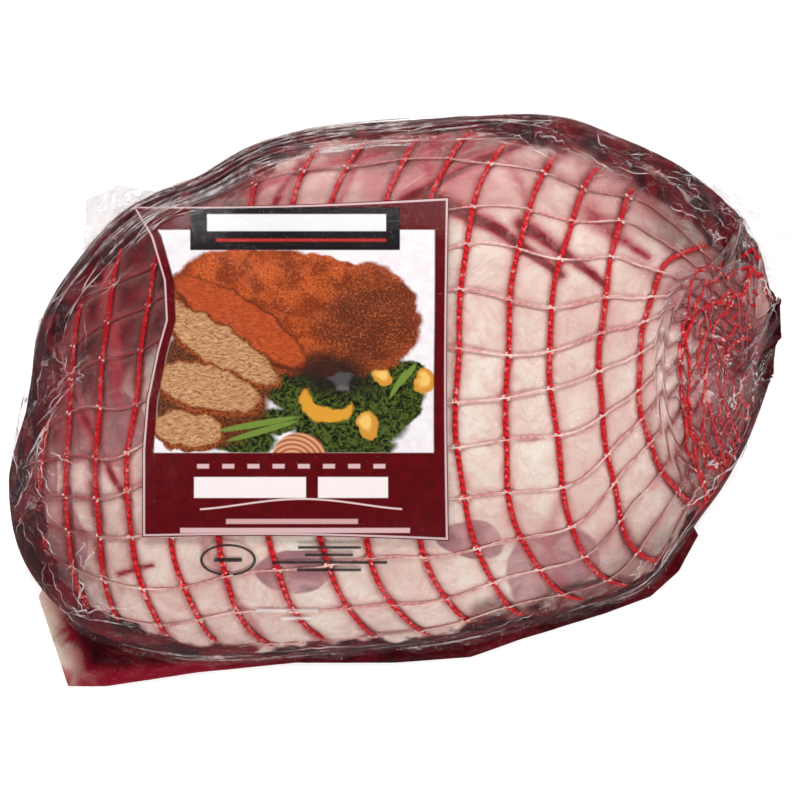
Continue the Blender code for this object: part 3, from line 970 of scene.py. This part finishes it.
# ------------------------------------------------------------ net materials
t = Tree("red_net")
P = t.pos()
fleck = t.math('MULTIPLY', t.ramp(t.noise(P, 520, 2, 0.6), 0.56, 0.68), t.ramp(
    t.noise(P, 24, 2, 0.5), 0.36, 0.60, 0.25, 1.0))
twist = t.ramp(t.attr("phase"), 0.15, 0.7)
col = t.mix(twist, srgb(150, 8, 18), srgb(214, 24, 32))
col = t.mix(t.math('MULTIPLY', fleck, 0.75), col, srgb(246, 170, 164))
b = t.bump(t.noise(P, 1500, 2, 0.6), 0.4, 0.0004)
col = t.mix(t.math('MULTIPLY', t.attr("zone"), 0.75), col, srgb(150, 12, 24))
bs = t.node("ShaderNodeBsdfPrincipled", {"Specular IOR Level": 0.12, "Base Color": col, "Roughness": t.ramp(
    twist, 0, 1, 0.55, 0.40), "Normal": b})
RED_MAT = t.surface(bs.outputs[0])

t = Tree("pale_net")
P = t.pos()
col = t.mix(t.ramp(t.noise(P, 55, 3, 0.6), 0.40, 0.62), srgb(232, 196, 188),
            srgb(206, 120, 118))
col = t.mix(t.ramp(t.attr("phase"), 0.0, 1.0, 0.0, 0.35), col, srgb(250, 232, 226))
col = t.mix(t.math('MULTIPLY', t.attr("zone"), 0.97), col, srgb(136, 42, 52))
bs = t.node("ShaderNodeBsdfPrincipled", {"Specular IOR Level": 0.12, "Base Color": col, "Roughness": t.ramp(
    t.noise(P, 300), 0.3, 0.7, 0.35, 0.55)})
PALE_MAT = t.surface(bs.outputs[0])

# ------------------------------------------------------------ film material
def film_material(name, haze, amount, wrinkle_bump):
    t = Tree(name)
    P = t.pos()
    fine = t.noise(P, 150, 4, 0.6, 0.8)
    crack = t.math('ABSOLUTE', t.math('SUBTRACT', t.noise(P, 95, 4, 0.6, 1.6), 0.5))
    h = t.math('ADD', t.math('MULTIPLY', fine, 0.25), t.math('MULTIPLY', t.ramp(
        crack, 0.0, 0.10, 1.0, 0.0), 0.9))
    if wrinkle_bump:
        h = t.math('MULTIPLY', h, t.math('ADD', t.math('MULTIPLY', t.attr("crumple"), 1.0), 0.06))
    b = t.bump(h, 0.9, 0.0022)
    fres = t.node("ShaderNodeFresnel", {"IOR": 1.45, "Normal": b}).outputs[0]
    if wrinkle_bump:
        amount = t.math('ADD', t.math('MULTIPLY', t.attr("crumple"), 0.9), amount)
    fac = t.math('ADD', t.math('MINIMUM', t.math('MULTIPLY', fres, amount), 0.075), haze,
                 clamp=True)
    gl = t.node("ShaderNodeBsdfAnisotropic", {"Color": (1, 1, 1, 1), "Roughness": 0.10,
                                              "Normal": b})
    tr = t.node("ShaderNodeBsdfTransparent", {"Color": (1, 1, 1, 1)})
    mx = t.node("ShaderNodeMixShader", {0: fac, 1: tr.outputs[0], 2: gl.outputs[0]})
    return t.surface(mx.outputs[0])


FILM_MAT = film_material("clear_bag", 0.0, 0.45, True)
# pleat colour: near-white and part opaque, a painted highlight standing in for glints on the film folds
t = Tree("film_pleat_painted_highlight")
P = t.pos()
pb = t.node("ShaderNodeBsdfPrincipled", {"Base Color": t.mix(t.ramp(t.noise(P, 200), 0.3, 0.7), srgb(
    250, 244, 242), srgb(214, 190, 188)), "Roughness": t.ramp(t.noise(P, 300), 0.3, 0.7, 0.1, 0.2)})
tr = t.node("ShaderNodeBsdfTransparent")
mx = t.node("ShaderNodeMixShader", {0: t.ramp(t.noise(P, 130, 3, 0.6), 0.38, 0.70, 0.06, 0.60),
                                    1: tr.outputs[0], 2: pb.outputs[0]})
PLEAT_HIGHLIGHT_MAT = t.surface(mx.outputs[0])
TUFT_MAT = film_material("clear_tuft", 0.13, 1.0, False)

# juice margin: dark juice running out to clear doubled film at the tail
t = Tree("juice_in_film")
P = t.pos()
nz = t.noise(P, 60, 4, 0.6, 0.6)
out_s = t.attr("out")
run = t.attr("run")
tail = t.math('MULTIPLY', t.ramp(t.math('ADD', run, t.math('MULTIPLY', t.math(
    'SUBTRACT', nz, 0.5), 0.10)), 0.20, 0.14), t.ramp(t.math('ADD', out_s, t.math(
        'MULTIPLY', t.math('SUBTRACT', nz, 0.5), 0.5)), 0.74, 1.0))
bright = t.math('MULTIPLY', t.ramp(run, 0.50, 0.30), t.ramp(out_s, 0.70, 0.88))
dark = t.mix(t.ramp(nz, 0.35, 0.65), srgb(50, 4, 10), srgb(92, 10, 20))
dark = t.mix(bright, dark, srgb(136, 20, 38))
light = t.mix(t.ramp(nz, 0.40, 0.60), srgb(236, 220, 200), srgb(212, 130, 126))
col = t.mix(tail, dark, light)
b = t.bump(t.noise(P, 170, 4, 0.6, 1.0), 0.7, 0.002)
bs = t.node("ShaderNodeBsdfPrincipled", {"Specular IOR Level": 0.12, "Base Color": col, "Roughness": t.ramp(
    nz, 0.3, 0.7, 0.10, 0.22), "Normal": b})
FIN_MAT = t.surface(bs.outputs[0])

# ------------------------------------------------------------ print
t = Tree("panel_print")
UVN = t.uv()
wv = t.node("ShaderNodeTexNoise", {"Vector": UVN, "Scale": 6.0, "Detail": 3.0}).outputs["Color"]
wv = t.node("ShaderNodeVectorMath", {0: wv, 1: (0.5, 0.5, 0.5)}, operation='SUBTRACT').outputs[0]
wv = t.node("ShaderNodeVectorMath", {0: wv, "Scale": 0.16}, operation='SCALE').outputs[0]
WARP = t.node("ShaderNodeVectorMath", {0: UVN, 1: wv}, operation='ADD').outputs[0]


def oval(vec, cx, cy, rx, ry, turn=0.0, soft=0.06):
    """1 inside an ellipse given in layout units"""
    m = t.node("ShaderNodeMapping", {"Vector": vec, "Location": (cx / 100, cy / 100, 0),
                                     "Rotation": (0, 0, math.radians(turn)),
                                     "Scale": (rx / 100, ry / 100, 1)}, vector_type='TEXTURE')
    sep = t.node("ShaderNodeSeparateXYZ", {0: m.outputs[0]})
    flat = t.node("ShaderNodeCombineXYZ", {0: sep.outputs[0], 1: sep.outputs[1]})
    ln = t.node("ShaderNodeVectorMath", {0: flat.outputs[0]}, operation='LENGTH').outputs[1]
    return t.ramp(ln, 1 + soft, 1 - soft)


def bar(vec, x0, y0, x1, y1, soft=0.6):
    """1 inside an upright rectangle given in layout units"""
    sep = t.node("ShaderNodeSeparateXYZ", {0: vec})
    dx = t.math('SUBTRACT', (x1 - x0) / 200, t.math('ABSOLUTE', t.math(
        'SUBTRACT', sep.outputs[0], (x0 + x1) / 200)))
    dy = t.math('SUBTRACT', (y1 - y0) / 200, t.math('ABSOLUTE', t.math(
        'SUBTRACT', sep.outputs[1], (y0 + y1) / 200)))
    d = t.math('MINIMUM', dx, dy)
    return t.ramp(d, -soft / 100, soft / 100)


def both(a, b):
    return t.math('MULTIPLY', a, b)


grain = t.noise(UVN, 9, 4, 0.65)
grit = t.noise(UVN, 42, 3, 0.7)
mar = t.mix(t.ramp(grain, 0.3, 0.7), srgb(98, 8, 16), srgb(80, 5, 10))
col = mar
# white picture field: follows the panel's own edges
sep = t.node("ShaderNodeSeparateXYZ", {0: UVN})
wf = both(t.ramp(t.attr("across"), 0.035, 0.042), t.ramp(t.attr("across"), 0.958, 0.951))
wf = both(wf, both(t.ramp(sep.outputs[1], 2.29, 2.305), t.ramp(sep.outputs[1], 4.535, 4.52)))
pic = t.mix(t.ramp(grain, 0.3, 0.7), srgb(240, 234, 236), srgb(228, 220, 223))
# leaves and stalks
g1 = t.mix(t.ramp(t.noise(WARP, 26, 4, 0.75, 0.5), 0.42, 0.60), srgb(14, 20, 10), srgb(84, 98, 40))
veg = oval(WARP, 385, 392, 38, 36, 0, 0.1)
for a in [(350, 420, 60, 30, 0), (300, 390, 36, 24, 0), (345, 448, 50, 16, 0),
          (242, 440, 34, 15, 0), (262, 425, 40, 14, -12), (402, 405, 20, 22, 0),
          (412, 372, 14, 14, 0)]:
    veg = t.math('MAXIMUM', veg, oval(WARP, *a, 0.1))
pic = t.mix(both(wf, veg), pic, g1)
# the roast
crust = t.mix(t.ramp(t.noise(WARP, 5, 4, 0.6), 0.36, 0.62), srgb(190, 86, 40), srgb(136, 54, 26))
crust = t.mix(t.ramp(grit, 0.52, 0.62, 0, 0.75), crust, srgb(84, 40, 24))
crust = t.mix(t.ramp(grit, 0.42, 0.36, 0, 0.45), crust, srgb(226, 150, 88))
dk = oval(WARP, 372, 322, 52, 46, -25, 0.5)
crust = t.mix(t.math('MULTIPLY', dk, t.ramp(grit, 0.38, 0.55, 0.35, 0.9)), crust, srgb(82, 42, 28))
body = oval(WARP, 292, 312, 130, 62, 6, 0.03)
for a in [(232, 300, 70, 52, -12), (362, 318, 58, 56, 10), (220, 330, 55, 40, 20)]:
    body = t.math('MAXIMUM', body, oval(WARP, *a, 0.04))
pic = t.mix(body, pic, crust)
shade = oval(WARP, 330, 374, 44, 20, 12, 0.5)
pic = t.mix(t.math('MULTIPLY', shade, 0.92), pic, srgb(34, 28, 26))
# carved slices with a browned edge
base_b = oval(WARP, 208, 388, 62, 62, 0, 0.08)
pic = t.mix(both(wf, base_b), pic, t.mix(t.ramp(grit, 0.4, 0.6), srgb(58, 28, 16), srgb(122, 66, 36)))


def fibres(turn, lo, hi):
    fib = t.noise(t.node("ShaderNodeMapping", {"Vector": WARP, "Rotation": (
        0, 0, math.radians(-turn)), "Scale": (5, 20, 1)}).outputs[0], 3.0, 4, 0.75)
    return t.mix(t.ramp(fib, 0.36, 0.64), lo, hi)


pic = t.mix(oval(WARP, 240, 322, 80, 23, 33, 0.05), pic, srgb(92, 40, 22))
pic = t.mix(oval(WARP, 240, 320, 76, 19.5, 33, 0.08), pic, fibres(33, srgb(196, 88, 46),
                                                                 srgb(146, 58, 30)))
for cx, cy, rx, ry, turn in [(216, 344, 75, 22, 32), (208, 389, 58, 26, 16),
                             (187, 431, 37, 21, 8)]:
    rim = oval(WARP, cx, cy, rx, ry, turn, 0.04)
    flesh = oval(WARP, cx - 1, cy - 2.0, rx * 0.95, ry * 0.82, turn, 0.06)
    pic = t.mix(rim, pic, t.mix(t.ramp(grit, 0.4, 0.6), srgb(84, 36, 18), srgb(164, 82, 40)))
    pic = t.mix(flesh, pic, fibres(turn, srgb(214, 166, 120), srgb(140, 88, 56)))
# stalks
for cx, cy, rx, ry, turn in [(258, 424, 40, 3.2, -10), (262, 431, 36, 3.0, -16),
                             (406, 376, 16, 3.0, -50), (398, 384, 16, 2.6, -60)]:
    pic = t.mix(oval(UVN, cx, cy, rx, ry, turn, 0.15), pic, srgb(112, 136, 58))
# roots and onions
for cx, cy, rx, ry, turn in [(383, 378, 10, 8, 20), (425, 381, 11, 13, 0), (369, 424, 11, 14, 0)]:
    pic = t.mix(oval(WARP, cx, cy, rx, ry, turn, 0.1), pic, srgb(206, 142, 56))
    pic = t.mix(oval(WARP, cx - 2, cy - 2, rx * 0.55, ry * 0.55, turn, 0.4), pic,
                srgb(234, 190, 104))
cres = both(oval(WARP, 326, 405, 28, 17, 15, 0.08), t.math('SUBTRACT', 1.0, oval(
    WARP, 331, 396, 24, 13, 15, 0.1)))
pic = t.mix(cres, pic, srgb(214, 152, 52))
on = oval(UVN, 299, 458, 27, 25, 0, 0.05)
rings_d = t.node("ShaderNodeVectorMath", {0: t.node("ShaderNodeMapping", {
    "Vector": UVN, "Location": (2.92, 4.64, 0), "Scale": (0.27, 0.25, 1)},
    vector_type='TEXTURE').outputs[0]}, operation='LENGTH').outputs[1]
band = t.ramp(t.math('SINE', t.math('MULTIPLY', rings_d, 34.0)), -0.4, 0.6)
pic = t.mix(on, pic, t.mix(band, srgb(214, 158, 116), srgb(168, 96, 72)))
col = t.mix(wf, col, pic)
# head band: dark field with a plain pale block and a thin red rule
hb = bar(UVN, 190, 207, 400, 250)
blk = srgb(26, 20, 22)
col = t.mix(hb, col, blk)
col = t.mix(bar(UVN, 216, 238.5, 386, 241.5), col, srgb(176, 44, 40))
col = t.mix(bar(UVN, 207, 214, 386, 231), col, srgb(228, 226, 226))
# lower field: plain bars where lines of print stand
x = 197.0
for k in range(8):
    col = t.mix(bar(UVN, x, 464, x + 12, 468.5), col, srgb(214, 178, 180))
    x += 25.2
col = t.mix(bar(UVN, 194, 477, 306, 498), col, srgb(240, 228, 228))
col = t.mix(bar(UVN, 318, 477, 388, 498), col, srgb(240, 228, 228))
swash = t.node("ShaderNodeCombineXYZ", {0: sep.outputs[0], 1: t.math(
    'ADD', sep.outputs[1], t.math('MULTIPLY', t.math('SINE', t.math(
        'MULTIPLY', sep.outputs[0], 2.6)), 0.055))}).outputs[0]
col = t.mix(bar(swash, 200, 503.6, 402, 505.4, 0.5), col, srgb(226, 196, 196))
col = t.mix(bar(UVN, 226, 519, 358, 524), col, srgb(206, 160, 162))
col = t.mix(bar(UVN, 180, 528.0, 410, 533.0), col, srgb(216, 176, 178))
# thin pale keyline round the panel
line = both(t.ramp(t.attr("edge_in"), 0.6, 1.2), t.ramp(t.attr("edge_in"), 3.4, 2.6))
col = t.mix(t.math('MULTIPLY', line, 0.8), col, srgb(226, 196, 198))
b = t.bump(t.noise(t.pos(), 60, 3, 0.5), 0.25, 0.0015)
bs = t.node("ShaderNodeBsdfPrincipled", {"Specular IOR Level": 0.12, "Base Color": col, "Roughness": t.ramp(
    grain, 0.3, 0.7, 0.28, 0.36), "Normal": b})
PANEL_MAT = t.surface(bs.outputs[0])


# small printed marks under the panel, thin ink patches on the film
def patch(name, u0, v0, u1, v1, nx, ny):
    a, bb = np.meshgrid(np.linspace(u0, u1, nx), np.linspace(v0, v1, ny), indexing="xy")
    p = lay_on_film(a, bb, 0.06)
    return make(name, p.reshape(-1, 3), grid_faces(ny, nx),
                uv=np.stack([a / 100, bb / 100], -1).reshape(-1, 2))


t = Tree("ink_marks")
UVN = t.uv()
m = both(oval(UVN, 228, 560, 28, 16, 0, 0.02), t.math('SUBTRACT', 1.0, oval(
    UVN, 228, 560, 25.4, 13.6, 0, 0.02)))
m = t.math('MAXIMUM', m, bar(UVN, 214, 558, 242, 562))
for x0, y0, x1 in [(298, 545.5, 361), (305, 553, 353), (272, 560.5, 387), (297, 568, 361)]:
    m = t.math('MAXIMUM', m, bar(UVN, x0, y0 + 0.6, x1, y0 + 3.4))
ink = t.node("ShaderNodeBsdfPrincipled", {"Base Color": srgb(24, 16, 18), "Roughness": t.ramp(
    t.noise(UVN, 30), 0.3, 0.7, 0.3, 0.4)})
tr = t.node("ShaderNodeBsdfTransparent")
mx = t.node("ShaderNodeMixShader", {0: t.math('MULTIPLY', m, 0.92), 1: tr.outputs[0],
                                    2: ink.outputs[0]})
INK_MAT = t.surface(mx.outputs[0])
ink_marks = patch("ink_marks", 198, 542, 390, 577, 90, 26)

t = Tree("pale_marks")
UVN = t.uv()
m = t.math('MAXIMUM', bar(UVN, 256, 609, 318, 612.5), bar(UVN, 281, 617, 312, 620))
ink = t.node("ShaderNodeBsdfPrincipled", {"Base Color": srgb(236, 226, 224), "Roughness": t.ramp(
    t.noise(UVN, 30), 0.3, 0.7, 0.3, 0.4)})
tr = t.node("ShaderNodeBsdfTransparent")
mx = t.node("ShaderNodeMixShader", {0: t.math('MULTIPLY', m, 0.6), 1: tr.outputs[0],
                                    2: ink.outputs[0]})
PALEINK_MAT = t.surface(mx.outputs[0])
pale_marks = patch("pale_marks", 252, 604, 322, 624, 40, 14)

for ob, m in ((meat, MEAT_MAT), (film, FILM_MAT), (rings, RED_MAT), (threads, PALE_MAT),
              (knots, PALE_MAT), (bunch_red, RED_MAT), (bunch_pale, PALE_MAT),
              (panel, PANEL_MAT), (fin, FIN_MAT), (tuft_a, TUFT_MAT), (tuft_b, TUFT_MAT), (pleat_highlights, PLEAT_HIGHLIGHT_MAT),
              (ink_marks, INK_MAT), (pale_marks, PALEINK_MAT)):
    ob.data.materials.clear()
    ob.data.materials.append(m)
    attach(ob, "root")
    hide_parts("vacuum_pack")

# ------------------------------------------------------------ camera, floor, light
scene = bpy.context.scene
cam_d = bpy.data.cameras.new("camera")
cam_d.sensor_width = 36.0
cam_d.lens = 36.0 * CAM_D / (800 * UNIT)
cam_d.clip_start = 0.05
cam_d.clip_end = 20
cam = bpy.data.objects.new("camera", cam_d)
cam.location = Vector(CAM)
scene.collection.objects.link(cam)
scene.camera = cam

fm = bpy.data.meshes.new("floor")
bm = bmesh.new()
bmesh.ops.create_grid(bm, x_segments=1, y_segments=1, size=4.0)
bm.to_mesh(fm)
bm.free()
floor = bpy.data.objects.new("floor", fm)
floor.location = (0, 0, -0.0002)
scene.collection.objects.link(floor)
t = Tree("floor")
bs = t.node("ShaderNodeBsdfPrincipled", {"Base Color": (0.93, 0.93, 0.93, 1), "Roughness": 0.7,
                                         "Specular IOR Level": 0.1,
                                         "Emission Color": (1, 1, 1, 1),
                                         "Emission Strength": 0.42})
floor.data.materials.append(t.surface(bs.outputs[0]))
floor.visible_glossy = False


def area(name, loc, target, size, size_y, power, shine=False, fill=True):
    d = bpy.data.lights.new(name, 'AREA')
    d.shape = 'RECTANGLE'
    d.size = size
    d.size_y = size_y
    d.energy = power
    ob = bpy.data.objects.new(name, d)
    ob.location = loc
    ob.rotation_euler = (Vector(target) - Vector(loc)).to_track_quat('-Z', 'Y').to_euler()
    scene.collection.objects.link(ob)
    ob.visible_glossy = shine
    ob.visible_diffuse = fill


area("soft_far", (-0.10, 1.25, 1.10), (0, 0, 0.03), 1.5, 0.7, 23)
area("soft_right", (1.45, 0.10, 0.95), (0, 0, 0.03), 0.6, 1.2, 11)
area("soft_left", (-1.45, 0.10, 1.05), (0, 0, 0.03), 0.6, 1.2, 8.5)
area("soft_near", (0.10, -1.45, 1.15), (0, 0, 0.03), 1.4, 0.6, 18.5)
area("sheen_far", (0.35, 1.5, 1.35), (0, 0, 0.03), 1.6, 0.5, 5, True, False)
area("strip_far", (0.0, 1.3, 0.30), (0, 0, 0.03), 2.4, 0.4, 14, True, False)
area("strip_right", (1.3, 0.0, 0.35), (0, 0, 0.03), 0.35, 1.6, 13, True, False)
area("strip_left", (-1.3, 0.0, 0.35), (0, 0, 0.03), 0.35, 1.6, 5, True, False)
area("strip_near", (0.0, -1.3, 0.30), (0, 0, 0.03), 2.4, 0.3, 8, True, False)
world = bpy.data.worlds.new("studio")
world.use_nodes = True
world.node_tree.nodes["Background"].inputs[0].default_value = (1, 1, 1, 1)
# pale to the eye, dim as a light so that the film keeps its colour
lp = world.node_tree.nodes.new("ShaderNodeLightPath")
st = world.node_tree.nodes.new("ShaderNodeMapRange")
st.inputs["To Min"].default_value = 0.12
st.inputs["To Max"].default_value = 0.90
world.node_tree.links.new(lp.outputs["Is Camera Ray"], st.inputs["Value"])
world.node_tree.links.new(st.outputs["Result"], world.node_tree.nodes["Background"].inputs[1])
scene.world = world
scene.view_settings.view_transform = 'Standard'
scene.view_settings.look = 'None'
scene.cycles.use_denoising = True
